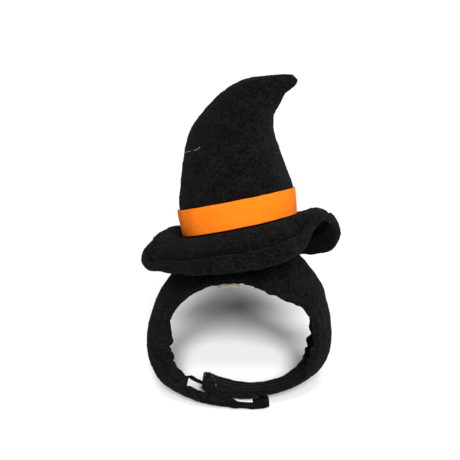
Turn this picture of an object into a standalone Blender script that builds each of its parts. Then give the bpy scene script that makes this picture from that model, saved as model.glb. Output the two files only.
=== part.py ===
"""Pet witch hat: stuffed crown, felt band and drooping brim on a padded fleece headband with a lapped closure."""

import math

import bmesh
import bpy
from mathutils import Matrix, Vector

MM = 0.001
GAP = 0.3  # clearance kept between neighbouring layers, mm
FLEECE = 1.7  # thickness of one fleece layer, mm

# Headband and tails, listed from the left tail's tip over the top to the right tail's tip.
# Outer crest x and z, half width, how far the edges curl inward, half thickness, twist in degrees.
BAND_STATIONS = (
    (22.0, -50.2, 10.0, 0.0, 2.6, 0.0),
    (1.0, -49.6, 11.0, 0.0, 2.4, 0.0),
    (-20.0, -46.2, 11.5, 0.0, 2.4, 0.0),
    (-36.0, -41.6, 12.0, 0.0, 2.4, 0.0),
    (-48.0, -36.5, 12.0, 0.5, 2.6, 0.0),
    (-58.0, -29.0, 12.5, 1.5, 3.0, 0.0),
    (-65.0, -18.5, 13.0, 4.0, 3.8, 0.0),
    (-68.3, -5.0, 13.5, 7.0, 4.3, 0.0),
    (-67.6, 9.0, 15.0, 8.0, 4.5, 0.0),
    (-64.6, 21.0, 17.5, 8.5, 4.5, 0.0),
    (-59.5, 33.0, 21.0, 9.0, 4.4, 0.0),
    (-52.0, 45.5, 25.0, 11.0, 4.2, 0.0),
    (-42.0, 58.0, 28.0, 15.0, 4.1, 0.0),
    (-28.0, 70.0, 30.5, 20.0, 4.0, 0.0),
    (-10.0, 78.5, 32.0, 24.0, 4.0, 0.0),
    (8.0, 80.5, 32.0, 26.0, 4.0, 0.0),
    (26.0, 76.0, 32.0, 26.0, 4.0, 0.0),
    (42.0, 65.0, 31.0, 24.0, 4.0, 0.0),
    (53.0, 52.0, 28.0, 19.0, 4.1, 0.0),
    (61.0, 39.5, 24.0, 14.0, 4.2, 0.0),
    (66.0, 25.0, 20.0, 10.0, 4.4, 0.0),
    (68.6, 10.0, 16.0, 8.5, 4.5, 0.0),
    (69.0, -4.0, 14.0, 7.0, 4.3, 0.0),
    (66.5, -17.0, 13.0, 4.0, 3.8, 0.0),
    (59.0, -26.5, 12.5, 1.5, 3.0, 0.0),
    (48.0, -31.8, 12.0, 0.5, 2.6, 0.0),
    (35.0, -36.0, 11.5, 0.0, 2.4, 0.0),
    (20.0, -39.2, 11.5, 0.0, 2.4, 0.0),
    (2.0, -40.4, 11.5, 0.0, 2.4, 2.0),
    (-14.0, -38.8, 11.5, 0.0, 2.4, 8.0),
    (-28.5, -36.2, 11.0, 0.0, 2.5, 14.0),
)
LEFT_CUT = 7.3  # station where the left tail hinges on the headband
RIGHT_CUT = 22.4  # station where the right tail hinges on the headband
CUT_GAP = 0.03  # half the slit at each hinge, in stations

# Crown outline in the hat's own frame: left x and z, right x and z, mm.
CROWN_STATIONS = (
    (-43.2, 0.0, 41.6, 0.0),
    (-40.5, 19.0, 43.3, 18.4),
    (-36.3, 36.5, 40.9, 30.0),
    (-31.4, 54.0, 39.5, 41.2),
    (-26.0, 66.0, 37.4, 52.6),
    (-19.5, 75.5, 36.9, 61.3),
    (-10.3, 84.1, 38.9, 68.1),
    (2.3, 92.9, 41.9, 73.2),
    (15.1, 98.7, 45.6, 78.4),
    (27.8, 101.1, 49.3, 83.8),
    (41.7, 99.4, 54.4, 86.8),
    (53.0, 98.1, 59.0, 89.4),
    (58.0, 96.9, 60.6, 92.6),
)
CROWN_DEPTH_BASE = 0.95  # front-to-back size over width, at the base and at the tip
CROWN_DEPTH_TIP = 0.72

# Brim outline in the hat's own frame: angle in degrees, edge radius, edge height, lift of the shoulder, mm.
BRIM_STATIONS = (
    (0.0, 70.0, -22.5, 5.0),
    (20.0, 67.0, -34.0, 1.0),
    (45.0, 62.5, -35.0, -4.0),
    (75.0, 61.0, -26.0, -4.0),
    (100.0, 63.0, -18.0, -2.0),
    (130.0, 68.0, -9.0, 9.0),
    (155.0, 73.0, -9.5, 9.5),
    (180.0, 75.5, -11.5, 7.0),
    (200.0, 75.0, -16.0, 3.5),
    (216.0, 70.0, -19.0, 0.0),
    (234.0, 67.0, -23.0, -3.0),
    (252.0, 65.0, -25.0, -4.0),
    (270.0, 65.0, -26.5, -4.0),
    (285.0, 65.0, -27.0, -4.0),
    (298.0, 64.5, -25.5, -3.0),
    (308.0, 63.0, -22.5, -1.0),
    (318.0, 62.0, -16.0, 2.0),
    (328.0, 63.5, -9.0, 3.0),
    (338.0, 66.0, -6.0, 4.0),
    (348.0, 68.5, -10.5, 5.0),
)
BRIM_INNER = 39.6  # radius of the hole in the brim
BRIM_FLAT = 45.6  # the brim lies flat out to this radius, under the crown's foot
BRIM_FLAT_SHARE = 0.14
BRIM_WADDING = 1.6  # space left for the wadding between the two brim panels
HAT_CENTRE = (1.3, 2.0, 86.2)
HAT_ROLL = 11.8  # the base rises toward the right
HAT_LEAN = 5.7  # the crown leans back
FELT_HEIGHT = 18.0
FELT_THICKNESS = 1.2
TAPE_THICKNESS = 0.8
TAPE_HALF = 10.0  # half the width of the hook and loop tape

BLACK_FLEECE = (0.012, 0.012, 0.012, 1.0)
WHITE_FIBRE = (0.85, 0.85, 0.83, 1.0)
ORANGE_FELT = (0.95, 0.25, 0.02, 1.0)
TAPE_WHITE = (0.9, 0.9, 0.86, 1.0)
THREAD_BLACK = (0.02, 0.02, 0.02, 1.0)


def clear_scene():
    for obj in list(bpy.data.objects):
        bpy.data.objects.remove(obj, do_unlink=True)


def make_material(name, color, roughness):
    material = bpy.data.materials.new(name)
    material.use_nodes = True
    principled = material.node_tree.nodes["Principled BSDF"]
    principled.inputs["Base Color"].default_value = color
    principled.inputs["Roughness"].default_value = roughness
    material.diffuse_color = color
    return material


def spline(rows, position, closed=False):
    """Reads a table of rows as one smooth curve."""
    count = len(rows)
    index = math.floor(position)
    if not closed:
        index = min(max(index, 0), count - 2)
    blend = position - index
    picked = []
    for step in (-1, 0, 1, 2):
        place = (index + step) % count if closed else min(max(index + step, 0), count - 1)
        picked.append(rows[place])
    before, start, end, after = picked
    values = []
    for a, b, c, d in zip(before, start, end, after):
        slope_b, slope_c = (c - a) / 2, (d - b) / 2
        values.append(
            (2 * blend**3 - 3 * blend**2 + 1) * b
            + (blend**3 - 2 * blend**2 + blend) * slope_b
            + (3 * blend**2 - 2 * blend**3) * c
            + (blend**3 - blend**2) * slope_c
        )
    return values


def band_point(position, across, offset):
    """Point on a headband section; across runs from -1 (front) to 1 (back), offset is outward from mid thickness."""
    x, z, half_width, curl, half_thick, twist = spline(BAND_STATIONS, position)
    ahead = spline(BAND_STATIONS, min(position + 0.02, len(BAND_STATIONS) - 1))
    behind = spline(BAND_STATIONS, max(position - 0.02, 0.0))
    tangent = Vector((ahead[0] - behind[0], 0, ahead[1] - behind[1])).normalized()
    outward = Vector((-tangent.z, 0, tangent.x))
    angle = math.radians(twist)
    depth = half_width * across
    radial = -half_thick - curl * across**2 + offset
    lift = half_width * math.sin(angle)
    y = depth * math.cos(angle) + (radial + half_thick) * math.sin(angle)
    r = -half_thick + (radial + half_thick) * math.cos(angle) - depth * math.sin(angle) - lift
    return Vector((x, y, z)) + outward * r


def band_half(position, across):
    """Half thickness of the headband at a place across it, thinner toward the two edges."""
    half_thick = spline(BAND_STATIONS, position)[4]
    return half_thick * math.sqrt(max(1 - abs(across) ** 5, 0.0))


def sweep(rings, name, material, collection, ring_closed=False, pivot=(0, 0, 0)):
    """Joins a row of closed outlines into one closed body with its origin at the pivot."""
    bm = bmesh.new()
    pivot = Vector(pivot)
    rows = [[bm.verts.new((Vector(p) - pivot) * MM) for p in ring] for ring in rings]
    pairs = list(zip(rows, rows[1:]))
    if ring_closed:
        pairs.append((rows[-1], rows[0]))
    for first, second in pairs:
        for i in range(len(first)):
            j = (i + 1) % len(first)
            bm.faces.new((first[i], first[j], second[j], second[i]))
    if not ring_closed:
        bm.faces.new(rows[0])
        bm.faces.new(rows[-1])
    bmesh.ops.recalc_face_normals(bm, faces=bm.faces)
    mesh = bpy.data.meshes.new(name)
    bm.to_mesh(mesh)
    bm.free()
    mesh.materials.append(material)
    obj = bpy.data.objects.new(name, mesh)
    obj.location = pivot * MM
    collection.objects.link(obj)
    return obj


def thread(points, name, material, collection, pivot=(0, 0, 0), radius=0.35):
    """A closed run of thread through the points."""
    pivot = Vector(pivot)
    curve = bpy.data.curves.new(name, "CURVE")
    curve.dimensions = "3D"
    curve.bevel_depth = radius * MM
    curve.bevel_resolution = 2
    line = curve.splines.new("POLY")
    line.points.add(len(points) - 1)
    for point, place in zip(line.points, points):
        point.co = (*((Vector(place) - pivot) * MM), 1.0)
    line.use_cyclic_u = True
    curve.materials.append(material)
    obj = bpy.data.objects.new(name, curve)
    obj.location = pivot * MM
    collection.objects.link(obj)
    return obj


def spread(count, limit):
    """Places across a section, closer together toward both edges."""
    top = math.asin(limit)
    return [math.sin(-top + 2 * top * i / (count - 1)) for i in range(count)]


def steps(start, end, count):
    return [start + (end - start) * i / (count - 1) for i in range(count)]


def layer(start, end, count, outer, inner, name, material, collection, pivot=(0, 0, 0), trim=0):
    """One layer of the headband between two offsets, each a function of place and position."""
    across = spread(11, 0.975)[trim:11 - trim]
    rings = []
    for u in steps(start, end, count)[trim:count - trim]:
        ring = [band_point(u, s, outer(u, s)) for s in across]
        ring += [band_point(u, s, inner(u, s)) for s in reversed(across)]
        rings.append(ring)
    return sweep(rings, name, material, collection, pivot=pivot)


def hinge_points():
    left = band_point(LEFT_CUT, 0.0, band_half(LEFT_CUT, 0.0) + 0.2)
    curl = band_point(RIGHT_CUT, 0.93, -band_half(RIGHT_CUT, 0.93) - 0.4)
    return left, Vector((curl.x, 0.0, curl.z))


def build_headband(collection, mats):
    start, end = LEFT_CUT + CUT_GAP, RIGHT_CUT - CUT_GAP
    share = 0.5
    layer(start, end, 36, lambda u, s: band_half(u, s), lambda u, s: band_half(u, s) * share,
          "headband_outer_panel", mats["fleece"], collection)
    layer(start, end, 36, lambda u, s: -band_half(u, s) * share, lambda u, s: -band_half(u, s),
          "headband_lining", mats["fleece"], collection)
    layer(start, end, 36, lambda u, s: band_half(u, s) * share - GAP,
          lambda u, s: GAP - band_half(u, s) * share, "headband_padding", mats["fibre"], collection, trim=1)


def build_tails(collection, mats):
    left, right = hinge_points()
    last = len(BAND_STATIONS) - 1
    for side, start, end, pivot in (
        ("left", 0.0, LEFT_CUT - CUT_GAP, left),
        ("right", RIGHT_CUT + CUT_GAP, last, right),
    ):
        layer(start, end, 20, lambda u, s: band_half(u, s), lambda u, s: GAP / 2,
              side + "_strap_outer_panel", mats["fleece"], collection, pivot)
        layer(start, end, 20, lambda u, s: -GAP / 2, lambda u, s: -band_half(u, s),
              side + "_strap_lining", mats["fleece"], collection, pivot)


def tape(start, end, side, name, material, collection, pivot):
    """Fastening tape laid on the inner (-1) or outer (1) face of a tail."""
    def face(u, s, out):
        return side * (band_half(u, s) + GAP + out)

    rings = []
    for u in steps(start, end, 14):
        half = TAPE_HALF / spline(BAND_STATIONS, u)[2]
        across = steps(-half, half, 9)
        ring = [band_point(u, s, face(u, s, TAPE_THICKNESS)) for s in across]
        ring += [band_point(u, s, face(u, s, 0.0)) for s in reversed(across)]
        rings.append(ring)
    return sweep(rings, name, material, collection, pivot=pivot)


def tape_stitch(start, end, side, name, material, collection, pivot):
    """Thread sewn round a tape, just outside its edge, lying on the tail's face."""
    line = []
    margin = 0.06

    def put(u, y):
        s = y / spline(BAND_STATIONS, u)[2]
        line.append(band_point(u, s, side * (band_half(u, s) + GAP + 0.5)))

    reach = TAPE_HALF + 0.5
    for u in steps(start - margin, end + margin, 12):
        put(u, -reach)
    for y in steps(-reach, reach, 7)[1:-1]:
        put(end + margin, y)
    for u in steps(end + margin, start - margin, 12):
        put(u, reach)
    for y in steps(reach, -reach, 7)[1:-1]:
        put(start - margin, y)
    return thread(line, name, material, collection, pivot, radius=0.2)


def build_fastening(collection, mats):
    left, right = hinge_points()
    tape(0.75, 3.35, -1, "hook_tape", mats["tape"], collection, left)
    tape_stitch(0.75, 3.35, -1, "hook_tape_stitching", mats["tape"], collection, left)
    tape(27.3, 29.7, 1, "loop_tape", mats["fleece"], collection, right)
    tape_stitch(27.3, 29.7, 1, "loop_tape_stitching", mats["thread"], collection, right)


def build_label(collection, mats):
    """A blank folded label caught in the front edge seam at the top of the opening."""
    rings = []
    for u in steps(13.85, 14.35, 5):
        across = steps(-0.955, -0.7, 5)
        ring = [band_point(u, s, -band_half(u, s) - GAP) for s in across]
        ring += [band_point(u, s, -band_half(u, s) - GAP - 0.9) for s in reversed(across)]
        rings.append(ring)
    sweep(rings, "blank_label", mats["tape"], collection)


def hat_matrix():
    roll = Matrix.Rotation(math.radians(-HAT_ROLL), 4, "Y")
    lean = Matrix.Rotation(math.radians(-HAT_LEAN), 4, "X")
    return Matrix.Translation(Vector(HAT_CENTRE)) @ roll @ lean


def crown_point(position, angle, offset):
    """Point on the crown section; angle 0 is the right seam, 270 the front."""
    left_x, left_z, right_x, right_z = spline(CROWN_STATIONS, position)
    left, right = Vector((left_x, 0, left_z)), Vector((right_x, 0, right_z))
    half = (right - left).length / 2
    middle = (left + right) / 2
    sideways = (right - left).normalized()
    along = position / (len(CROWN_STATIONS) - 1)
    depth = half * (CROWN_DEPTH_BASE + (CROWN_DEPTH_TIP - CROWN_DEPTH_BASE) * along)
    turn = math.radians(angle)
    flat = sideways * (half + offset) * math.cos(turn)
    return middle + flat + Vector((0, (depth + offset) * math.sin(turn), 0))


def crown_shell(start_angle, end_angle, name, material, collection, matrix):
    last = len(CROWN_STATIONS) - 1
    angles = steps(start_angle, end_angle, 13)
    rings = []
    for v in steps(0.0, last, 24):
        left_x, left_z, right_x, right_z = spline(CROWN_STATIONS, v)
        thick = min(FLEECE, 0.25 * math.hypot(right_x - left_x, right_z - left_z))
        ring = [matrix @ crown_point(v, a, 0.0) for a in angles]
        ring += [matrix @ crown_point(v, a, -thick) for a in reversed(angles)]
        rings.append(ring)
    return sweep(rings, name, material, collection)


def build_crown(collection, mats):
    matrix = hat_matrix()
    crown_shell(180.4, 359.6, "crown_front_panel", mats["fleece"], collection, matrix)
    crown_shell(0.4, 179.6, "crown_back_panel", mats["fleece"], collection, matrix)
    rings = []
    for v in steps(0.02, len(CROWN_STATIONS) - 2.2, 22):
        rings.append([matrix @ crown_point(v, a, -FLEECE - GAP) for a in steps(0, 345, 24)])
    sweep(rings, "crown_stuffing", mats["fibre"], collection)
    disc = []
    for height in (-0.4, -1.9):
        ring = [matrix @ Vector((math.cos(a) * 38.8, math.sin(a) * 38.8, height))
                for a in steps(0, 2 * math.pi * 47 / 48, 48)]
        disc.append(ring)
    sweep(disc, "crown_base_disc", mats["fleece"], collection)


def build_felt_band(collection, mats):
    """Felt strip round the crown's base, standing off a little along its upper edge."""
    matrix = hat_matrix()
    top = FELT_HEIGHT / 19.0
    rings = []
    for angle in steps(0, 360 - 360 / 48, 48):
        stand = 0.8 * max(0.0, -math.cos(math.radians(angle)))
        ring = []
        for v, away in ((0.02, 0.0), (top / 2, 0.2), (top, stand)):
            ring.append(matrix @ crown_point(v, angle, GAP + away))
        for v, away in ((top, stand), (top / 2, 0.2), (0.02, 0.0)):
            ring.append(matrix @ crown_point(v, angle, GAP + away + FELT_THICKNESS))
        rings.append(ring)
    sweep(rings, "felt_hat_band", mats["felt"], collection, ring_closed=True)


def brim_rows():
    """The brim's outline at even angles, read from the table's own angles."""
    angles = [row[0] for row in BRIM_STATIONS] + [360.0]
    rows = []
    for i in range(48):
        angle = 7.5 * i
        place = next(k for k in range(len(BRIM_STATIONS)) if angles[k] <= angle < angles[k + 1])
        share = (angle - angles[place]) / (angles[place + 1] - angles[place])
        radius, height, lift = spline([row[1:] for row in BRIM_STATIONS], place + share, closed=True)
        rows.append((math.radians(angle), radius, height, lift))
    return rows


def brim_profile(row, along):
    """Radius and height of the brim's top face from the hole (0) to the edge (1)."""
    radius, height, lift = row[1:]
    if along < BRIM_FLAT_SHARE:
        return Vector((BRIM_INNER + (BRIM_FLAT - BRIM_INNER) * along / BRIM_FLAT_SHARE, -GAP))
    along = (along - BRIM_FLAT_SHARE) / (1 - BRIM_FLAT_SHARE)
    points = (
        Vector((BRIM_FLAT, -GAP)),
        Vector((BRIM_FLAT + 0.45 * (radius - BRIM_FLAT), lift)),
        Vector((BRIM_FLAT + 0.88 * (radius - BRIM_FLAT), 0.3 * height + 0.6 * lift)),
        Vector((radius, height)),
    )
    keep = 1 - along
    weights = (keep**3, 3 * keep**2 * along, 3 * keep * along**2, along**3)
    return sum((w * p for w, p in zip(weights, points)), Vector((0, 0)))


def brim_point(row, along, depth):
    """Point at a depth below the brim's top face, square to the profile."""
    here = brim_profile(row, along)
    ahead, behind = brim_profile(row, min(along + 0.02, 1.0)), brim_profile(row, max(along - 0.02, 0.0))
    tangent = (ahead - behind).normalized()
    if along < BRIM_FLAT_SHARE:
        tangent = Vector((1, 0))
    below = here + depth * Vector((tangent.y, -tangent.x))
    return Vector((below.x * math.cos(row[0]), below.x * math.sin(row[0]), below.y))


def brim_layer(top, bottom, trim, name, material, collection):
    matrix = hat_matrix()
    rings = []
    for row in brim_rows():
        places = steps(0.0, 1.0, 9)[trim:9 - trim]
        ring = [matrix @ brim_point(row, t, top) for t in places]
        ring += [matrix @ brim_point(row, t, bottom) for t in reversed(places)]
        rings.append(ring)
    return sweep(rings, name, material, collection, ring_closed=True)


def build_brim(collection, mats):
    low = FLEECE
    brim_layer(0.0, FLEECE, 0, "brim_top_panel", mats["fleece"], collection)
    brim_layer(low + 1.5 * GAP, low + BRIM_WADDING - 1.5 * GAP, 1, "brim_wadding", mats["fibre"], collection)
    under = low + BRIM_WADDING
    brim_layer(under, under + FLEECE, 0, "brim_bottom_panel", mats["fleece"], collection)
    matrix = hat_matrix()
    line = [matrix @ brim_point(row, 0.62, -GAP - 0.3) for row in brim_rows()]
    thread(line, "brim_topstitch_thread", mats["thread"], collection, radius=0.3)


def band_crest(x):
    """Height of the headband's outer crest near the top, above a place across the hat."""
    low, high = 12.0, 18.0
    for _ in range(40):
        middle = (low + high) / 2
        if spline(BAND_STATIONS, middle)[0] < x:
            low = middle
        else:
            high = middle
    return spline(BAND_STATIONS, low)[1]


def build_tacks(collection, mats):
    """Thread tacks that hold the crown's base on the headband's crest."""
    matrix = hat_matrix()
    for name, x in (("hat_tack_left", -12.0), ("hat_tack_right", 10.0)):
        foot = band_crest(x) + 0.6
        base = matrix @ Vector((x, -2.0, -1.9 - 0.9))
        rings = []
        for z in (foot, base.z):
            rings.append([(x + 1.1 * math.cos(a), 1.1 * math.sin(a), z) for a in steps(0, 2 * math.pi * 11 / 12, 12)])
        sweep(rings, name, mats["thread"], collection)


def main():
    clear_scene()
    collection = bpy.data.collections.new("pet_witch_hat")
    bpy.context.scene.collection.children.link(collection)
    mats = {
        "fleece": make_material("black_fleece", BLACK_FLEECE, 0.95),
        "fibre": make_material("fibre_fill", WHITE_FIBRE, 0.95),
        "felt": make_material("orange_felt", ORANGE_FELT, 0.9),
        "tape": make_material("white_tape", TAPE_WHITE, 0.8),
        "thread": make_material("black_thread", THREAD_BLACK, 0.8),
    }
    build_headband(collection, mats)
    build_tails(collection, mats)
    build_fastening(collection, mats)
    build_label(collection, mats)
    build_crown(collection, mats)
    build_felt_band(collection, mats)
    build_brim(collection, mats)
    build_tacks(collection, mats)


main()
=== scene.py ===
import math

import bmesh
import bpy
from mathutils import Matrix, Vector, noise


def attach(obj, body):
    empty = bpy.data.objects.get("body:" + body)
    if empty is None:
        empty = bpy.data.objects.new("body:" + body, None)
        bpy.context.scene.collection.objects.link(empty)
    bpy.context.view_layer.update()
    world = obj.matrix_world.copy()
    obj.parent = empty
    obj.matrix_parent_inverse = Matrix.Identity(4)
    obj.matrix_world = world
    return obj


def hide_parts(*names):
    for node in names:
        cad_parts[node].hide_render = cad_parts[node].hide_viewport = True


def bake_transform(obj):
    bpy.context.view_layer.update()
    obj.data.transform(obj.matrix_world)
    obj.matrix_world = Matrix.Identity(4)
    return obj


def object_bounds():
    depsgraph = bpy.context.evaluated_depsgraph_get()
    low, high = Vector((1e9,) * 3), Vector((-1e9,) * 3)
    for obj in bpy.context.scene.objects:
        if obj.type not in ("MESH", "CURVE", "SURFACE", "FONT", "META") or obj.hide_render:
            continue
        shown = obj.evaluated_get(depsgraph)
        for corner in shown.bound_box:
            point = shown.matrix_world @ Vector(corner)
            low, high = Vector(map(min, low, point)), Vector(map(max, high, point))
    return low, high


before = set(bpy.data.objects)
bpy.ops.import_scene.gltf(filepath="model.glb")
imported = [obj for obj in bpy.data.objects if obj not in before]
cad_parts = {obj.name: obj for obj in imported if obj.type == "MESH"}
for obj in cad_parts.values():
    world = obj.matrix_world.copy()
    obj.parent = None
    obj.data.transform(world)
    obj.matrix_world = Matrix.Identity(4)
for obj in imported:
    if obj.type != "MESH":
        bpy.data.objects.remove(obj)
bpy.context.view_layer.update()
mm = 0.001

print("stage: camera, floor and light")

view = {
    "target": (-0.00625, 0.0, 0.0822),
    "distance": 0.65,
    "elevation": 10.0,
    "lens": 70.65,
}


def makeCamera():
    tilt = math.radians(view["elevation"])
    target = Vector(view["target"])
    place = target + view["distance"] * Vector((0, -math.cos(tilt), math.sin(tilt)))
    data = bpy.data.cameras.new("studioCamera")
    data.lens = view["lens"]
    data.clip_start = 0.01
    camera = bpy.data.objects.new("studioCamera", data)
    bpy.context.scene.collection.objects.link(camera)
    camera.location = place
    camera.rotation_euler = (target - place).to_track_quat("-Z", "Y").to_euler()
    bpy.context.scene.camera = camera


studio = {
    "skyLight": 0.055,  # soft light from all round
    "backdrop": 1.05,  # how bright the sky looks behind the hat
    "floorSize": 12.0,
    "floorColor": (0.9, 0.9, 0.9, 1),
    # strength, degrees across, height and side in degrees (side 0 is the front, plus is to the right)
    "floorLamps": {
        "lowFloorLamp": (7.6, 12.5, 22.0, 1.0),
        "highFloorLamp": (1.15, 8.0, 37.0, 0.0),
    },
    "hatLamps": {
        "frontLamp": (3.95, 26.0, 30.0, 13.0),
        "topLamp": (0.4, 60.0, 78.0, 30.0),
        "backLeftLamp": (0.6, 40.0, 40.0, -150.0),
        "backRightLamp": (1.3, 40.0, 35.0, 130.0),
    },
}


def linkNode(tree, kind, **values):
    node = tree.nodes.new(kind)
    for key, value in values.items():
        setattr(node, key, value)
    return node


def makeStudio():
    scene = bpy.context.scene
    scene.view_settings.view_transform = "Standard"
    world = bpy.data.worlds.new("softSky")
    world.use_nodes = True
    scene.world = world
    tree = world.node_tree
    tree.nodes.clear()
    path = linkNode(tree, "ShaderNodeLightPath")
    dim = linkNode(tree, "ShaderNodeBackground")
    dim.inputs["Strength"].default_value = studio["skyLight"]
    dim.inputs["Color"].default_value = (1.0, 0.93, 0.9, 1)
    bright = linkNode(tree, "ShaderNodeBackground")
    bright.inputs["Strength"].default_value = studio["backdrop"]
    bright.inputs["Color"].default_value = (1.0, 1.0, 1.0, 1)
    mix = linkNode(tree, "ShaderNodeMixShader")
    out = linkNode(tree, "ShaderNodeOutputWorld")
    tree.links.new(path.outputs["Is Camera Ray"], mix.inputs[0])
    tree.links.new(dim.outputs[0], mix.inputs[1])
    tree.links.new(bright.outputs[0], mix.inputs[2])
    tree.links.new(mix.outputs[0], out.inputs[0])


def addLamp(name, values, floor, floorOnly):
    # the floor and the hat are lit separately, so the floor stays white round a soft shadow
    strength, across, high, side = values
    data = bpy.data.lights.new(name, "SUN")
    data.energy = strength
    data.angle = math.radians(across)
    lamp = bpy.data.objects.new(name, data)
    bpy.context.scene.collection.objects.link(lamp)
    high, side = math.radians(high), math.radians(side)
    toward = Vector((math.sin(side) * math.cos(high), -math.cos(side) * math.cos(high), math.sin(high)))
    lamp.rotation_euler = toward.to_track_quat("Z", "Y").to_euler()
    lit = bpy.data.collections.new(name + "Reach")
    lit.objects.link(floor)
    lit.collection_objects[0].light_linking.link_state = "INCLUDE" if floorOnly else "EXCLUDE"
    lamp.light_linking.receiver_collection = lit


def addLamps(floor):
    for name, values in studio["floorLamps"].items():
        addLamp(name, values, floor, True)
    for name, values in studio["hatLamps"].items():
        addLamp(name, values, floor, False)


def makeFloor(height):
    bm = bmesh.new()
    bmesh.ops.create_grid(bm, x_segments=2, y_segments=2, size=studio["floorSize"] / 2)
    bmesh.ops.translate(bm, verts=bm.verts, vec=(0, 0, height))
    mesh = bpy.data.meshes.new("paleFloor")
    bm.to_mesh(mesh)
    bm.free()
    floor = bpy.data.objects.new("paleFloor", mesh)
    bpy.context.scene.collection.objects.link(floor)
    material = bpy.data.materials.new("paleFloor")
    material.use_nodes = True
    shader = material.node_tree.nodes["Principled BSDF"]
    shader.inputs["Base Color"].default_value = studio["floorColor"]
    shader.inputs["Roughness"].default_value = 1.0
    shader.inputs["Specular IOR Level"].default_value = 0.0
    mesh.materials.append(material)
    return floor


makeCamera()
makeStudio()

print("stage: cloth and thread finishes")


def makeGroup(name, inputs, outputs):
    group = bpy.data.node_groups.new(name, "ShaderNodeTree")
    for label, kind, value in inputs:
        socket = group.interface.new_socket(label, in_out="INPUT", socket_type=kind)
        socket.default_value = value
    for label, kind in outputs:
        group.interface.new_socket(label, in_out="OUTPUT", socket_type=kind)
    return group, linkNode(group, "NodeGroupInput"), linkNode(group, "NodeGroupOutput")


def mixColor(tree):
    node = linkNode(tree, "ShaderNodeMix", data_type="RGBA")
    return node.inputs[0], node.inputs[6], node.inputs[7], node.outputs[2]


def makeNapGroup():
    # brushed pile: fine fibres gathered in small clumps, over broad soft mottling
    group, source, result = makeGroup(
        "brushedNap",
        [
            ("Deep", "NodeSocketColor", (0.004, 0.004, 0.004, 1)),
            ("Tips", "NodeSocketColor", (0.02, 0.02, 0.02, 1)),
            ("Clump Size", "NodeSocketFloat", 0.0016),
            ("Depth", "NodeSocketFloat", 0.0004),
        ],
        [("Color", "NodeSocketColor"), ("Roughness", "NodeSocketFloat"), ("Normal", "NodeSocketVector")],
    )
    link = group.links.new
    place = linkNode(group, "ShaderNodeTexCoord")
    divide = linkNode(group, "ShaderNodeMath", operation="DIVIDE")
    divide.inputs[0].default_value = 1.0
    link(source.outputs["Clump Size"], divide.inputs[1])
    scaled = linkNode(group, "ShaderNodeVectorMath", operation="SCALE")
    link(place.outputs["Object"], scaled.inputs[0])
    link(divide.outputs[0], scaled.inputs["Scale"])

    clump = linkNode(group, "ShaderNodeTexNoise")
    clump.inputs["Scale"].default_value = 1.0
    clump.inputs["Detail"].default_value = 3.0
    clump.inputs["Roughness"].default_value = 0.65
    clump.inputs["Distortion"].default_value = 0.9
    link(scaled.outputs[0], clump.inputs["Vector"])

    fibre = linkNode(group, "ShaderNodeTexNoise")
    fibre.inputs["Scale"].default_value = 4.3
    fibre.inputs["Detail"].default_value = 2.0
    fibre.inputs["Distortion"].default_value = 2.2
    link(scaled.outputs[0], fibre.inputs["Vector"])

    broad = linkNode(group, "ShaderNodeTexNoise")
    broad.inputs["Scale"].default_value = 0.13
    broad.inputs["Detail"].default_value = 2.0
    link(scaled.outputs[0], broad.inputs["Vector"])

    both = linkNode(group, "ShaderNodeMath", operation="MULTIPLY_ADD")
    link(fibre.outputs["Fac"], both.inputs[0])
    both.inputs[1].default_value = 0.45
    link(clump.outputs["Fac"], both.inputs[2])
    spread = linkNode(group, "ShaderNodeMapRange")
    spread.inputs["From Min"].default_value = 0.64
    spread.inputs["From Max"].default_value = 0.9
    link(both.outputs[0], spread.inputs["Value"])
    patch = linkNode(group, "ShaderNodeMapRange")
    patch.inputs["From Min"].default_value = 0.3
    patch.inputs["From Max"].default_value = 0.7
    patch.inputs["To Min"].default_value = 0.65
    patch.inputs["To Max"].default_value = 1.25
    link(broad.outputs["Fac"], patch.inputs["Value"])
    level = linkNode(group, "ShaderNodeMath", operation="MULTIPLY")
    link(spread.outputs[0], level.inputs[0])
    link(patch.outputs[0], level.inputs[1])
    share, first, second, mixed = mixColor(group)
    link(level.outputs[0], share)
    link(source.outputs["Deep"], first)
    link(source.outputs["Tips"], second)
    link(mixed, result.inputs["Color"])

    rough = linkNode(group, "ShaderNodeMapRange")
    rough.inputs["To Min"].default_value = 1.0
    rough.inputs["To Max"].default_value = 0.82
    link(spread.outputs[0], rough.inputs["Value"])
    link(rough.outputs[0], result.inputs["Roughness"])

    bump = linkNode(group, "ShaderNodeBump")
    bump.inputs["Strength"].default_value = 0.9
    link(source.outputs["Depth"], bump.inputs["Distance"])
    link(both.outputs[0], bump.inputs["Height"])
    link(bump.outputs[0], result.inputs["Normal"])
    return group


napGroup = makeNapGroup()

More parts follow.
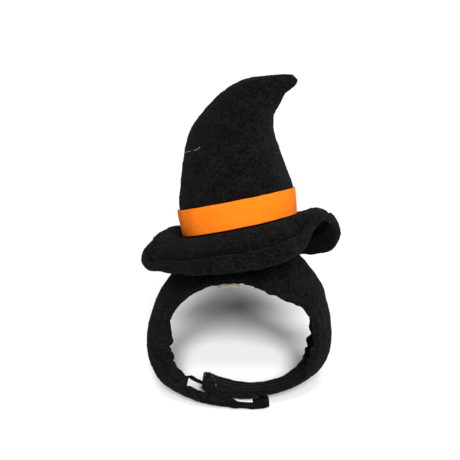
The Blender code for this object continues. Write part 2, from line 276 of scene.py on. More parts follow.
clothFinishes = {
    "blackFleece": {
        "slot": "black_fleece",
        "group": {"Deep": (0.0004, 0.0004, 0.0004, 1), "Tips": (0.0108, 0.0106, 0.0105, 1),
                  "Clump Size": 0.0016, "Depth": 0.0009},
        "sheen": 0.02,
        "sheenRoughness": 0.45,
        "sheenTint": (0.55, 0.62, 0.62, 1),
    },
    "orangeFelt": {
        "slot": "orange_felt",
        "group": {"Deep": (0.86, 0.175, 0.008, 1), "Tips": (1.0, 0.24, 0.0105, 1), "Clump Size": 0.0011,
                  "Depth": 0.00016},
        "sheen": 0.02,
        "sheenRoughness": 0.5,
        "sheenTint": (1.0, 0.6, 0.2, 1),
    },
    "blackTape": {
        "slot": "black_loop_tape",
        "group": {"Deep": (0.004, 0.004, 0.004, 1), "Tips": (0.03, 0.03, 0.03, 1), "Clump Size": 0.0007,
                  "Depth": 0.0003},
        "sheen": 0.2,
        "sheenRoughness": 0.4,
        "sheenTint": (0.6, 0.6, 0.6, 1),
    },
    "whiteTape": {
        "slot": "white_hook_tape",
        "group": {"Deep": (0.66, 0.655, 0.62, 1), "Tips": (0.92, 0.92, 0.89, 1), "Clump Size": 0.0006,
                  "Depth": 0.0002},
        "sheen": 0.05,
        "sheenRoughness": 0.5,
        "sheenTint": (1.0, 1.0, 1.0, 1),
    },
    "blankLabel": {
        "slot": "woven_label",
        "group": {"Deep": (0.36, 0.32, 0.2, 1), "Tips": (0.62, 0.57, 0.42, 1), "Clump Size": 0.0005,
                  "Depth": 0.0001},
        "sheen": 0.05,
        "sheenRoughness": 0.5,
        "sheenTint": (1.0, 1.0, 1.0, 1),
    },
    # real black thread, coloured darker than the black fleece so that the brim's stitch run also paints the
    # shade of the groove it lies in
    "blackThreadAndGrooveShade": {
        "slot": "black_thread",
        "group": {"Deep": (0.0003, 0.0003, 0.0003, 1), "Tips": (0.0022, 0.0022, 0.0022, 1),
                  "Clump Size": 0.0003, "Depth": 0.00005},
        "sheen": 0.0,
        "sheenRoughness": 0.4,
        "sheenTint": (1.0, 1.0, 1.0, 1),
    },
    "paleLint": {
        "slot": "fibre_fill",
        "group": {"Deep": (0.30, 0.29, 0.28, 1), "Tips": (0.6, 0.59, 0.57, 1), "Clump Size": 0.0004,
                  "Depth": 0.00003},
        "sheen": 0.0,
        "sheenRoughness": 0.5,
        "sheenTint": (1.0, 1.0, 1.0, 1),
    },
}


def makeCloth(name, finish):
    material = bpy.data.materials.new(name)
    material.use_nodes = True
    tree = material.node_tree
    shader = tree.nodes["Principled BSDF"]
    nap = linkNode(tree, "ShaderNodeGroup", node_tree=napGroup)
    for key, value in finish["group"].items():
        nap.inputs[key].default_value = value
    tree.links.new(nap.outputs["Color"], shader.inputs["Base Color"])
    tree.links.new(nap.outputs["Roughness"], shader.inputs["Roughness"])
    tree.links.new(nap.outputs["Normal"], shader.inputs["Normal"])
    shader.inputs["Specular IOR Level"].default_value = 0.08
    shader.inputs["Sheen Weight"].default_value = finish["sheen"]
    shader.inputs["Sheen Roughness"].default_value = finish["sheenRoughness"]
    shader.inputs["Sheen Tint"].default_value = finish["sheenTint"]
    return material


cloths = {name: makeCloth(name, finish) for name, finish in clothFinishes.items()}


def finishPiece(bm, name, clothName, smooth=True):
    bmesh.ops.recalc_face_normals(bm, faces=bm.faces)
    for face in bm.faces:
        face.smooth = smooth
    mesh = bpy.data.meshes.new(name)
    bm.to_mesh(mesh)
    bm.free()
    mesh.materials.append(cloths[clothName])
    piece = bpy.data.objects.new(name, mesh)
    bpy.context.scene.collection.objects.link(piece)
    return piece


def readRows(rows, position, closed=False):
    # one smooth curve through the rows of a table
    count = len(rows)
    index = math.floor(position)
    if not closed:
        index = min(max(index, 0), count - 2)
    part = position - index
    near = []
    for step in (-1, 0, 1, 2):
        near.append(rows[(index + step) % count if closed else min(max(index + step, 0), count - 1)])
    values = []
    for a, b, c, d in zip(*near):
        values.append(
            (2 * part**3 - 3 * part**2 + 1) * b
            + (part**3 - 2 * part**2 + part) * (c - a) / 2
            + (3 * part**2 - 2 * part**3) * c
            + (part**3 - part**2) * (d - b) / 2
        )
    return values


def bell(distance, width):
    return math.exp(-((distance / width) ** 2))


def clamp(value, low, high):
    return min(max(value, low), high)


def window(value, start, end, soft=0.35):
    return clamp((value - start) / soft + 0.5, 0, 1) * clamp((end - value) / soft + 0.5, 0, 1)


def wrapGrid(around, along, place, closeAround=True, closeAlong=False):
    # a flat grid whose points are moved to place(u, v), u and v from 0 to 1, then sewn up at its edges
    bm = bmesh.new()
    bm.loops.layers.uv.new("UVMap")
    bmesh.ops.create_grid(bm, x_segments=around, y_segments=along, size=0.5, calc_uvs=True)
    for vert in bm.verts:
        u, v = vert.co.x + 0.5, vert.co.y + 0.5
        if closeAround and u > 0.9999:
            u = 0.0
        if closeAlong and v > 0.9999:
            v = 0.0
        vert.co = place(u, v)
    bmesh.ops.remove_doubles(bm, verts=bm.verts, dist=1e-6)
    return bm


def closeEnds(bm):
    edges = [edge for edge in bm.edges if edge.is_boundary]
    if edges:
        bmesh.ops.holes_fill(bm, edges=edges)


print("stage: headband and tails")

headband = {
    # outer crest x and z, half width, inward curl of the edges, half thickness, twist, in mm and degrees,
    # from the left tail's tip over the top to the right tail's tip
    "stations": (
        (22.8, -50.6, 10.8, 0.0, 3.2, 0.0),
        (1.0, -50.1, 11.3, 0.0, 3.2, 0.0),
        (-20.0, -46.9, 11.8, 0.0, 3.2, 0.0),
        (-36.0, -43.1, 12.2, 1.8, 3.2, 0.0),
        (-48.5, -38.0, 12.6, 6.3, 3.9, 0.0),
        (-58.6, -30.0, 12.9, 7.6, 4.6, 0.0),
        (-64.8, -18.5, 13.2, 9.0, 4.8, 0.0),
        (-67.2, -5.0, 13.6, 10.2, 5.0, 0.0),
        (-66.5, 9.0, 15.0, 9.2, 4.8, 0.0),
        (-64.0, 21.0, 17.5, 8.5, 4.5, 0.0),
        (-59.5, 33.0, 21.0, 9.0, 4.4, 0.0),
        (-52.0, 45.5, 25.0, 11.0, 4.2, 0.0),
        (-42.0, 58.0, 28.0, 15.0, 4.1, 0.0),
        (-28.0, 70.0, 30.5, 20.0, 4.0, 0.0),
        (-10.0, 78.5, 32.0, 24.5, 4.0, 0.0),
        (8.0, 80.5, 32.0, 26.5, 4.0, 0.0),
        (26.0, 76.0, 32.0, 27.0, 4.1, 0.0),
        (42.6, 65.4, 31.0, 26.0, 4.2, 0.0),
        (53.8, 52.6, 28.5, 21.5, 4.3, 0.0),
        (61.2, 39.8, 24.0, 14.5, 4.3, 0.0),
        (65.6, 25.0, 20.0, 9.5, 4.4, 0.0),
        (67.9, 10.0, 16.0, 8.3, 4.5, 0.0),
        (68.1, -4.0, 14.2, 9.0, 4.8, 0.0),
        (64.4, -16.3, 13.4, 8.6, 4.8, 0.0),
        (57.0, -25.2, 12.8, 6.0, 4.6, 0.0),
        (47.2, -31.4, 12.2, 3.0, 3.6, 0.0),
        (35.0, -36.5, 11.7, 1.0, 2.9, 0.0),
        (20.0, -39.6, 11.5, 0.0, 2.6, 0.0),
        (2.0, -40.8, 11.5, 0.0, 2.6, 2.0),
        (-14.0, -39.0, 11.5, 0.0, 2.6, 8.0),
        (-27.6, -36.5, 11.0, 0.0, 3.0, 14.0),
    ),
    "join": 14.6,  # station under the hat where the left and right halves meet
    "overlap": 0.05,  # how far each half runs past the join
    "tailsFrom": 6.5,  # stations from the join to where the tails are sewn through
    "tailsEase": 1.5,
    "tipLength": 0.5,  # stations over which a tail rounds off
    "puckerDepth": 0.8,
    "puckerLength": 6.5,
    "lumps": 0.8,
    "stitchRows": (-0.5, 0.0, 0.5),  # places across the tails where they are sewn through
    "stitchDepth": 0.9,
    "hemAt": 0.86,  # row of stitches along both edges of the wide part
    "hemDepth": 1.4,
    # puffed edges beside the tapes: from, to, height; the first two are on the inner face
    "lips": ((1.15, 3.4, 4.2), (-1.0, 0.45, 1.4)),
    "outerLip": (27.6, 29.7, 1.3),
    # where the gathered edges bulge into the opening or draw back: station, spread, depth
    "scallops": ((7.05, 0.4, 1.2), (6.42, 0.2, -2.7), (5.75, 0.25, 1.3), (5.2, 0.15, -1.1),
                 (8.3, 0.25, -0.6), (22.25, 0.3, 1.4), (21.65, 0.18, -1.3), (22.85, 0.2, -1.1),
                 (23.4, 0.25, 0.9), (24.3, 0.2, -0.8)),
}


def bandFrame(position):
    rows = headband["stations"]
    x, z, halfWidth, curl, halfThick, twist = readRows(rows, position)
    ahead = readRows(rows, min(position + 0.02, len(rows) - 1))
    behind = readRows(rows, max(position - 0.02, 0.0))
    tangent = Vector((ahead[0] - behind[0], 0, ahead[1] - behind[1])).normalized()
    outward = Vector((-tangent.z, 0, tangent.x))
    return {
        "crest": Vector((x, 0, z)),
        "outward": outward,
        "halfWidth": halfWidth,
        "curl": curl,
        "halfThick": halfThick,
        "twist": math.radians(twist),
    }


def bandPlace(position, across, offset):
    # across runs from -1 at the front edge to 1 at the back, offset is outward from mid thickness
    here = bandFrame(position)
    halfWidth, twist = here["halfWidth"], here["twist"]
    depth = halfWidth * across
    raised = offset - here["curl"] * across**2
    y = depth * math.cos(twist) + raised * math.sin(twist)
    r = -here["halfThick"] + raised * math.cos(twist) - depth * math.sin(twist) - halfWidth * math.sin(twist)
    return (here["crest"] + here["outward"] * r + Vector((0, y, 0))) * mm


def faceHeight(position, across):
    # from mid thickness to the flat outer or inner face
    return bandFrame(position)["halfThick"] * max(1 - abs(across) ** 4, 0.0) ** 0.25


def tipShare(position):
    # 1 along the band, easing to 0 at the very tip of either tail
    last = len(headband["stations"]) - 1
    reach = min(position, last - position) / headband["tipLength"]
    if reach >= 1:
        return 1.0
    return math.sqrt(max(1 - (1 - reach) ** 2, 0.0))


def bandSurface(position, turn):
    # turn 0 is the outer crest, 0.25 the back edge, 0.5 the inner face, 0.75 the front edge
    angle = 2 * math.pi * turn
    here = bandFrame(position)
    crest = here["crest"]
    s, c = math.sin(angle), math.cos(angle)
    tip = tipShare(position)
    across = math.copysign(abs(s) ** 0.9, s) * (0.74 + 0.26 * tip)
    side = math.copysign(abs(c) ** 0.5, c)
    thick = here["halfThick"] * (0.15 + 0.85 * tip)
    rim = bell(1 - abs(s), 0.22)
    length = headband["puckerLength"]
    wave = noise.noise(Vector((crest.x / length, 3.1 * s, crest.z / length)))
    gather = headband["puckerDepth"] * wave * rim * tip
    for at, spread, depth in headband["scallops"]:
        gather += depth * bell(position - at, spread) * rim
    fromJoin = abs(position - headband["join"])
    tails = clamp((fromJoin - headband["tailsFrom"]) / headband["tailsEase"], 0, 1)
    groove = 0.0
    if c < 0 or position > 23 or position < 4:
        for row in headband["stitchRows"]:
            groove += bell(across - row, 0.05)
    groove *= headband["stitchDepth"] * tails
    groove += headband["hemDepth"] * bell(abs(across) - headband["hemAt"], 0.04) * (1 - tails)
    lump = headband["lumps"] * noise.noise(Vector((crest.x / 16, 2.3 * s, crest.z / 16)) + Vector((7, c, 2)))
    fine = 0.35 * noise.noise(Vector((crest.x / 5, 6 * s, crest.z / 5)))
    offset = side * (thick - groove * tip + (lump + fine) * (1 - rim) * tip)
    edge = bell(abs(across) - 0.93, 0.08)
    if c < 0:
        for start, end, height in headband["lips"]:
            offset -= height * edge * window(position, start, end) * tip
    else:
        start, end, height = headband["outerLip"]
        offset += height * edge * window(position, start, end) * tip
    point = bandPlace(position, across, offset)
    point -= here["outward"] * gather * mm
    # the sewn edge sits in a shallow crease
    point -= Vector((0, math.copysign(0.5 * bell(c, 0.10), s) * mm * tip, 0))
    return point


def makeBandHalf(name, start, end, rows):
    def place(u, v):
        # rows gather toward the tip so that it rounds off smoothly
        return bandSurface(start + (end - start) * (1 - (1 - v) ** 1.35), u)

    bm = wrapGrid(112, rows, place)
    closeEnds(bm)
    half = finishPiece(bm, name, "blackFleece")
    return half


def shake(piece, amount, size, seed):
    # brushed surface: every point moves a little along its normal
    moves = []
    for vert in piece.data.vertices:
        spot = vert.co / size + Vector((seed, seed, seed))
        moves.append(vert.normal * amount * (noise.noise(spot) + 0.6 * noise.noise(spot * 2.7)))
    for vert, move in zip(piece.data.vertices, moves):
        vert.co += move


leftHalf = makeBandHalf("headband_left_half", headband["join"] + headband["overlap"], 0, 250)
rightHalf = makeBandHalf("headband_right_half", headband["join"] - headband["overlap"],
                         len(headband["stations"]) - 1, 260)
for half, seed in ((leftHalf, 3), (rightHalf, 11)):
    shake(half, 0.0003, 0.0018, seed)
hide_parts("headband_outer_panel", "headband_lining", "headband_padding",
            "left_strap_outer_panel", "left_strap_lining")
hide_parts("right_strap_outer_panel", "right_strap_lining")
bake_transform(leftHalf)
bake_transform(rightHalf)

print("stage: brim")

hatPlace = {"centre": (1.3, 2.0, 86.2), "roll": 11.8, "lean": 5.7}
hatMatrix = (
    Matrix.Translation(Vector(hatPlace["centre"]) * mm)
    @ Matrix.Rotation(math.radians(-hatPlace["roll"]), 4, "Y")
    @ Matrix.Rotation(math.radians(-hatPlace["lean"]), 4, "X")
)

brim = {
    # angle round the crown, edge radius, edge height, lift of the shoulder, in degrees and mm
    "stations": (
        (0.0, 70.0, -22.5, 5.0),
        (20.0, 67.0, -34.0, 1.0),
        (45.0, 62.5, -35.0, -4.0),
        (75.0, 61.0, -26.0, -4.0),
        (100.0, 63.0, -18.0, -2.0),
        (130.0, 68.0, -8.0, 13.5),
        (155.0, 73.0, -9.0, 13.5),
        (180.0, 75.5, -11.5, 7.0),
        (200.0, 75.0, -16.0, 3.5),
        (216.0, 70.0, -19.0, 0.0),
        (234.0, 67.0, -23.0, -3.0),
        (252.0, 65.0, -25.0, -4.0),
        (270.0, 65.0, -26.5, -4.0),
        (285.0, 65.0, -27.0, -4.0),
        (298.0, 64.5, -25.5, -3.0),
        (308.0, 63.0, -22.5, -1.0),
        (318.0, 62.0, -16.0, 2.0),
        (328.0, 63.5, -9.0, 3.0),
        (338.0, 66.0, -6.0, 4.0),
        (348.0, 68.5, -10.5, 5.0),
    ),
    "inner": 37.0,
    "flat": 45.6,
    "flatShare": 0.14,
    # where the rim channel is stitched, as a share of the brim's width, at angles round the crown
    "channel": ((0, 0.74), (60, 0.7), (120, 0.7), (165, 0.72), (185, 0.79), (200, 0.83), (213, 0.81),
                (224, 0.75), (236, 0.73), (248, 0.7), (300, 0.7), (330, 0.74), (360, 0.74)),
    "grooveDepth": 4.2,
    # folds running out from the crown: angle, spread in degrees, height, from and to along the width
    "folds": ((193.0, 5.0, 2.3, 0.3, 0.9), (203.0, 4.0, -2.6, 0.25, 0.85), (212.0, 6.0, 2.1, 0.2, 0.8),
              (224.0, 5.0, -0.9, 0.2, 0.7), (312.0, 6.0, -1.6, 0.35, 1.0), (322.0, 6.0, 1.2, 0.4, 1.0),
              (343.0, 5.0, -1.4, 0.5, 1.0), (90.0, 8.0, 1.4, 0.3, 1.0), (140.0, 7.0, -1.2, 0.3, 1.0)),
    "thickInside": 2.3,
    "thickRim": 3.5,
    "thickLeast": 0.3,  # in the stitched channel
    "midDepth": 2.6,  # from the profile down to the middle of the filling
}


def brimRow(angle):
    rows = brim["stations"]
    angles = [row[0] for row in rows] + [360.0]
    spot = max(k for k in range(len(rows)) if angles[k] <= angle + 1e-9)
    share = (angle - angles[spot]) / (angles[spot + 1] - angles[spot])
    return readRows([row[1:] for row in rows], spot + share, closed=True)


def brimProfile(row, along):
    radius, height, lift = row
    inner, flat, share = brim["inner"], brim["flat"], brim["flatShare"]
    if along < share:
        return Vector((inner + (flat - inner) * along / share, -0.3))
    t = (along - share) / (1 - share)
    points = (
        Vector((flat, -0.3)),
        Vector((flat + 0.45 * (radius - flat), lift)),
        Vector((flat + 0.88 * (radius - flat), 0.3 * height + 0.6 * lift)),
        Vector((radius, height)),
    )
    keep = 1 - t
    weights = (keep**3, 3 * keep**2 * t, 3 * keep * t**2, t**3)
    return sum((w * p for w, p in zip(weights, points)), Vector((0, 0)))


def channelShare(angle):
    rows = brim["channel"]
    for (a, first), (b, second) in zip(rows, rows[1:]):
        if a <= angle <= b:
            t = (angle - a) / (b - a)
            return first + (second - first) * t * t * (3 - 2 * t)
    return rows[0][1]


def brimSurface(angle, turn):
    # turn runs out along the top face, round the edge and back along the underside
    row = brimRow(angle)
    swing = 2 * math.pi * turn
    along = 0.5 - 0.5 * math.cos(swing)
    side = math.copysign(abs(math.sin(swing)) ** 0.4, math.sin(swing))
    here = brimProfile(row, along)
    tangent = (brimProfile(row, min(along + 0.02, 1)) - brimProfile(row, max(along - 0.02, 0))).normalized()
    if along < brim["flatShare"]:
        tangent = Vector((1, 0))
    normal = Vector((-tangent.y, tangent.x))
    channel = channelShare(angle)
    rimShare = clamp((along - channel + 0.04) / 0.08, 0, 1)
    thick = brim["thickInside"] + (brim["thickRim"] - brim["thickInside"]) * rimShare
    ray = Vector((math.cos(math.radians(angle)), math.sin(math.radians(angle))))
    loose = clamp((along - 0.2) / 0.15, 0, 1)
    ripple = noise.noise(Vector((ray.x * 9, ray.y * 9, along * 2.5)))
    pucker = noise.noise(Vector((ray.x * 24, ray.y * 24, along * 1.5)))
    crease = 1 - abs(noise.noise(Vector((ray.x * 12 + 3, ray.y * 12, along * 3.0)))) * 2
    thick -= brim["grooveDepth"] * bell(along - channel, 0.036) * (1 + 0.35 * pucker)
    thick += 0.65 * pucker * bell(along - channel, 0.13) + 0.6 * ripple * loose
    thick -= 0.55 * max(crease - 0.72, 0) / 0.28 * loose * (1 - rimShare)
    thick = max(thick, brim["thickLeast"])
    centre = here - normal * brim["midDepth"]
    spot = centre + normal * side * thick
    spot.y += 0.8 * ripple * along * loose
    for at, spread, height, start, end in brim["folds"]:
        spot.y += height * bell(angle - at, spread) * window(along, start, end, 0.3)
    return Vector((spot.x * ray.x, spot.x * ray.y, spot.y))


def makeBrim():
    bm = wrapGrid(420, 150, lambda u, v: hatMatrix @ (brimSurface(360 * u, v) * mm), True, True)
    piece = finishPiece(bm, "brim_cloth", "blackFleece")
    shake(piece, 0.0003, 0.0018, 21)
    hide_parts("brim_top_panel", "brim_bottom_panel", "brim_wadding")
    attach(piece, "hat")


makeBrim()

print("stage: crown")

crown = {
    # outline of the crown seen from the front, left x and z, right x and z, in mm from its base
    "stations": (
        (-40.9, 0.0, 40.2, 0.0),
        (-40.9, 19.0, 42.4, 18.4),
        (-36.3, 36.5, 40.9, 30.0),
        (-31.4, 54.0, 39.5, 41.2),
        (-26.0, 66.0, 37.4, 52.6),
        (-19.5, 75.5, 36.9, 61.3),
        (-10.3, 84.1, 38.9, 68.1),
        (2.3, 92.9, 41.9, 73.2),
        (15.1, 98.7, 45.6, 78.4),
        (27.8, 101.1, 49.3, 83.8),
        (41.7, 99.4, 54.4, 86.8),
        (53.0, 98.1, 59.0, 89.4),
        (58.0, 96.9, 60.6, 92.6),
    ),
    "depthBase": 0.95,
    "depthTip": 0.72,
    "seamDepth": 0.6,
    "lumps": 1.0,
    # hollows pressed into the filling: station, turn in degrees, depth, reach
    "hollows": ((7.8, 296.0, 3.4, 0.9), (6.6, 336.0, 1.2, 0.8), (6.4, 30.0, 1.8, 0.9),
                (3.2, 215.0, 0.9, 1.2), (4.2, 272.0, -1.0, 1.0), (6.0, 262.0, 1.0, 0.7),
                (9.6, 280.0, -0.8, 0.9), (2.2, 300.0, 0.7, 0.8)),
    # the lowest rows sink into the brim: share of a station, and mm for a whole station
    "sinkFrom": 0.2,
    "sinkRate": 14.0,
}


def crownPlace(position, angle, offset=0.0):
    # angle 0 is the right seam, 180 the left seam, 270 the front
    leftX, leftZ, rightX, rightZ = readRows(crown["stations"], position)
    left, right = Vector((leftX, 0, leftZ)), Vector((rightX, 0, rightZ))
    half = (right - left).length / 2
    along = position / (len(crown["stations"]) - 1)
    depth = half * (crown["depthBase"] + (crown["depthTip"] - crown["depthBase"]) * along)
    turn = math.radians(angle)
    sideways = (right - left).normalized() * (half + offset) * math.cos(turn)
    return (left + right) / 2 + sideways + Vector((0, (depth + offset) * math.sin(turn), 0))


def crownSurface(position, angle):
    last = len(crown["stations"]) - 1
    ease = clamp((last - position) / 1.0, 0, 1)
    offset = 0.0
    for seam in (0.0, 180.0):
        gap = abs((angle - seam + 180) % 360 - 180)
        offset -= crown["seamDepth"] * bell(gap, 2.2) * ease
        offset += 0.35 * bell(gap, 9.0) * ease * noise.noise(Vector((position * 3.0, seam, 1.0)))
    for station, spot, depth, reach in crown["hollows"]:
        gap = abs((angle - spot + 180) % 360 - 180)
        offset -= depth * bell(position - station, reach) * bell(gap, 26.0)
    base = crownPlace(position, angle)
    offset += crown["lumps"] * noise.noise(base / 22 + Vector((5, 1, 3))) * ease
    offset += 0.35 * noise.noise(base / 7) * ease
    return crownPlace(position, angle, offset)


def makeCrown():
    last = len(crown["stations"]) - 1

    def place(u, v):
        position = -crown["sinkFrom"] + (last + crown["sinkFrom"]) * v
        base = crownSurface(max(position, 0.0), 360 * u)
        return hatMatrix @ ((base + Vector((0, 0, crown["sinkRate"] * min(position, 0.0)))) * mm)

    bm = wrapGrid(260, 200, place)
    closeEnds(bm)
    piece = finishPiece(bm, "crown_cloth", "blackFleece")
    shake(piece, 0.0003, 0.0018, 31)
    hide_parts("crown_front_panel", "crown_back_panel", "crown_stuffing", "crown_base_disc")
    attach(piece, "hat")
    return piece


crownPiece = makeCrown()

print("stage: felt band")

felt = {
    "height": 18.6,
    "thickness": 1.3,
    "lapStart": 96.0,  # degrees, at the back
    "lap": 12.0,
    "lapRise": 1.5,  # the outer end lies this far out over the inner one
    "lapLength": 9.0,
    "standOff": 0.25,  # how far the upper edge stands away at the left
    "stationHeight": 19.0,  # height of the crown's first station
    "footRadius": 43.2,
    "footRoundness": 0.98,
    "cornerRound": 0.22,
}


def makeFeltBand():
    start, sweep = felt["lapStart"], 360 + felt["lap"]

    def place(u, v):
        angle = start + sweep * u
        station = 0.02 + (felt["height"] / felt["stationHeight"]) * v
        lapped = clamp((u - (360 / sweep) + 0.02) / 0.03, 0, 1) * felt["lapRise"]
        turn = angle % 360
        across, toBack = math.cos(math.radians(turn)), math.sin(math.radians(turn))
        stand = felt["standOff"] * max(0.0, -across) * v
        wave = 0.22 * noise.noise(Vector((across * 5, toBack * 5, v * 1.2)))
        base = crownPlace(station, turn, 0.1 + stand + lapped + wave)
        base.z += 0.18 * noise.noise(Vector((turn / 14, 2.0, 0.0)))
        return hatMatrix @ (base * mm)

    bm = wrapGrid(300, 16, place, closeAround=False)
    bmesh.ops.recalc_face_normals(bm, faces=bm.faces)
    bmesh.ops.solidify(bm, geom=bm.faces[:], thickness=-felt["thickness"] * mm)
    sharp = [edge for edge in bm.edges if len(edge.link_faces) == 2 and edge.calc_face_angle(0) > 1.0]
    bmesh.ops.bevel(bm, geom=sharp, offset=felt["cornerRound"] * mm, offset_type="OFFSET", segments=2,
                    profile=0.5, affect="EDGES", material=-1, clamp_overlap=True)
    piece = finishPiece(bm, "felt_band_cloth", "orangeFelt")
    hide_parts("felt_hat_band")
    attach(piece, "hat")
    return piece


makeFeltBand()

print("stage: stitching")


def stitchRun(name, points, body, clothName, length=2.6, gap=0.7, radius=0.26):
    # short rounded stitches laid end to end along a path, in mm
    bm = bmesh.new()
    total = sum((b - a).length for a, b in zip(points, points[1:]))

    def at(where):
        walked = 0.0
        for a, b in zip(points, points[1:]):
            step = (b - a).length
            if walked + step >= where:
                return a.lerp(b, (where - walked) / max(step, 1e-9))
            walked += step
        return points[-1].copy()

    count = int(total / (length + gap))
    for number in range(count):
        first = at(number * (length + gap))
        second = at(number * (length + gap) + length)
        aim = second - first
        if aim.length < 1e-6:
            continue
        turn = aim.to_track_quat("Z", "Y").to_matrix().to_4x4()
        made = bmesh.ops.create_uvsphere(bm, u_segments=6, v_segments=5, radius=1.0)
        size = Matrix.Diagonal((radius, radius, aim.length / 2 * 1.04, 1))
        place = Matrix.Translation((first + second) / 2) @ turn @ size
        bmesh.ops.transform(bm, verts=made["verts"], matrix=place)
    bmesh.ops.scale(bm, verts=bm.verts, vec=(mm, mm, mm))
    piece = finishPiece(bm, name, clothName)
    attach(piece, body)
    return piece


def makeBrimStitching():
    path = []
    for number in range(361):
        angle = number % 360
        turn = math.acos(1 - 2 * channelShare(angle)) / (2 * math.pi)
        path.append((hatMatrix @ (brimSurface(angle, turn) * mm)) / mm)
    # the nearly gap-free run of very dark thread is the real topstitching, and it also paints the shade along
    # the stitched groove
    piece = stitchRun("brim_stitching", path, "hat", "blackThreadAndGrooveShade", 3.4, 0.3, 0.55)
    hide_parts("brim_topstitch_thread")


makeBrimStitching()

print("stage: fastening tapes")

tapes = {
    # stations from and to, half width, thickness and height over the cloth, in mm
    "hook": {"start": 0.62, "end": 3.35, "half": 10.0, "thick": 0.8, "lift": 0.45, "pitch": 1.5},
    "loop": {"start": 27.3, "end": 29.7, "half": 10.0, "thick": 0.8, "lift": 0.45},
}


def makeTape(name, tape, side, clothName, body, replaced):
    def place(u, v):
        position = tape["start"] + (tape["end"] - tape["start"]) * v
        across = tape["half"] / bandFrame(position)["halfWidth"] * (2 * u - 1)
        return bandPlace(position, across, side * (faceHeight(position, across) + tape["lift"]))

    bm = wrapGrid(28, 60, place, closeAround=False)
    bmesh.ops.recalc_face_normals(bm, faces=bm.faces)
    middle = bandPlace((tape["start"] + tape["end"]) / 2, 0, side * 20)
    near = min(bm.faces, key=lambda face: (face.calc_center_median() - middle).length)
    if near.normal.dot(middle - near.calc_center_median()) < 0:
        bmesh.ops.reverse_faces(bm, faces=bm.faces[:])
    bmesh.ops.solidify(bm, geom=bm.faces[:], thickness=-tape["thick"] * mm)
    sharp = [edge for edge in bm.edges if len(edge.link_faces) == 2 and edge.calc_face_angle(0) > 1.0]
    bmesh.ops.bevel(bm, geom=sharp, offset=0.00015, offset_type="OFFSET", segments=2, profile=0.5,
                    affect="EDGES", material=-1, clamp_overlap=True)
    piece = finishPiece(bm, name, clothName)
    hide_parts(replaced)
    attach(piece, body)


def makeHooks():
    tape = tapes["hook"]
    bm = bmesh.new()
    rows = int((tape["end"] - tape["start"]) * 17 / tape["pitch"])
    for i in range(rows):
        position = tape["start"] + 0.06 + (tape["end"] - tape["start"] - 0.12) * i / (rows - 1)
        outward, halfWidth = bandFrame(position)["outward"], bandFrame(position)["halfWidth"]
        for j in range(12):
            across = (tape["half"] - 1.2) / halfWidth * (2 * (j + 0.5 * (i % 2)) / 12 - 0.96)
            root = bandPlace(position, across, -(faceHeight(position, across) + tape["lift"])) / mm
            made = bmesh.ops.create_cone(bm, cap_ends=True, segments=5, radius1=0.16, radius2=0.11, depth=0.9)
            aim = (-outward).to_track_quat("Z", "Y").to_matrix().to_4x4()
            tilt = Matrix.Rotation(0.35 * (1 if j % 2 else -1), 4, "X")
            bmesh.ops.transform(bm, verts=made["verts"],
                                matrix=Matrix.Translation(root - outward * 0.35) @ aim @ tilt)
    bmesh.ops.scale(bm, verts=bm.verts, vec=(mm, mm, mm))
    piece = finishPiece(bm, "hook_tape_hooks", "whiteTape", smooth=False)
    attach(piece, "left_tail")


def tapePath(tape, side, lift):
    path = []
    inset = tape["half"] - 0.9

    def put(position, y):
        across = y / bandFrame(position)["halfWidth"]
        path.append(bandPlace(position, across, side * (faceHeight(position, across) + lift)) / mm)

    ends = (tape["start"] + 0.05, tape["end"] - 0.05)
    for i in range(40):
        put(ends[0] + (ends[1] - ends[0]) * i / 39, -inset)
    for i in range(16):
        put(ends[1], -inset + 2 * inset * i / 15)
    for i in range(40):
        put(ends[1] + (ends[0] - ends[1]) * i / 39, inset)
    for i in range(16):
        put(ends[0], inset - 2 * inset * i / 15)
    return path


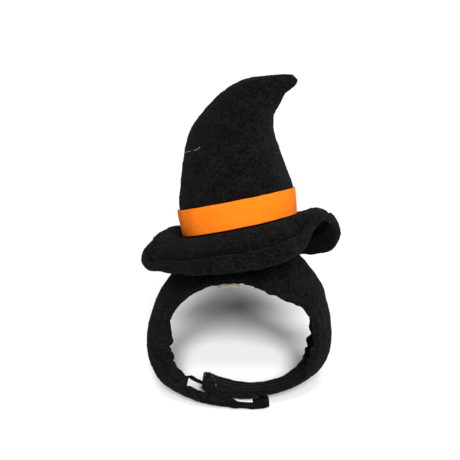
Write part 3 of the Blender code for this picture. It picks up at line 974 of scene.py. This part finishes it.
makeTape("hook_tape_cloth", tapes["hook"], -1, "whiteTape", "left_tail", "hook_tape")
makeTape("loop_tape_cloth", tapes["loop"], 1, "blackTape", "right_tail", "loop_tape")
makeHooks()
hookStitches = stitchRun("hook_tape_stitches", tapePath(tapes["hook"], -1, 0.55), "left_tail", "whiteTape",
                         length=2.0, gap=0.5, radius=0.2)
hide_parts("hook_tape_stitching")
loopStitches = stitchRun("loop_tape_stitches", tapePath(tapes["loop"], 1, 0.55), "right_tail", "blackThreadAndGrooveShade",
                         length=2.0, gap=0.5, radius=0.2)
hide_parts("loop_tape_stitching")

print("stage: label, tacks and lint")


def makeLabel():
    # folded flat on the inner face, its free edge just showing below the front edge
    def place(u, v):
        position = 12.95 + 1.3 * u
        across = -0.985 + 0.25 * v
        under = 0.7 + 1.7 * (1 - v) ** 2 + 0.3 * math.sin(9 * u) * (1 - v)
        return bandPlace(position, across, -faceHeight(position, across) - under)

    bm = wrapGrid(24, 14, place, closeAround=False)
    bmesh.ops.recalc_face_normals(bm, faces=bm.faces)
    bmesh.ops.solidify(bm, geom=bm.faces[:], thickness=0.7 * mm)
    piece = finishPiece(bm, "blank_label_cloth", "blankLabel")
    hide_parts("blank_label")
    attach(piece, "hat")


makeLabel()

lint = {
    "crownHairs": (((3.3, 198), (3.36, 208), (3.4, 218)), ((3.44, 222), (3.5, 228), (3.66, 233))),
    "tailThread": ((29.9, 0.46), (29.77, 0.36), (29.55, 0.3), (29.42, 0.42), (29.28, 0.5), (29.22, 0.62)),
    "radius": 0.13,
}


def bendThrough(points, steps=8):
    rows = [tuple(point) for point in points]
    count = (len(rows) - 1) * steps
    return [Vector(readRows(rows, k / steps)) for k in range(count + 1)]


for number, hair in enumerate(lint["crownHairs"]):
    points = [(hatMatrix @ (crownPlace(a, b, 0.7 + 0.3 * k) * mm)) / mm for k, (a, b) in enumerate(hair)]
    stitchRun("lint_hair_%d" % (number + 1), bendThrough(points), "hat", "paleLint",
              0.6, -0.06, lint["radius"])
points = [bandSurface(a, b) / mm + Vector((0, 0, 0.35)) for a, b in lint["tailThread"]]
stitchRun("loose_thread", bendThrough(points), "right_tail", "paleLint", 0.6, -0.06, lint["radius"])

for name in ("hat_tack_left", "hat_tack_right"):
    node = bpy.data.objects.get(name)
    if node:
        node.data.materials.clear()
        node.data.materials.append(cloths["blackThreadAndGrooveShade"])

low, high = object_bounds()
addLamps(makeFloor(low[2] - 0.0004))
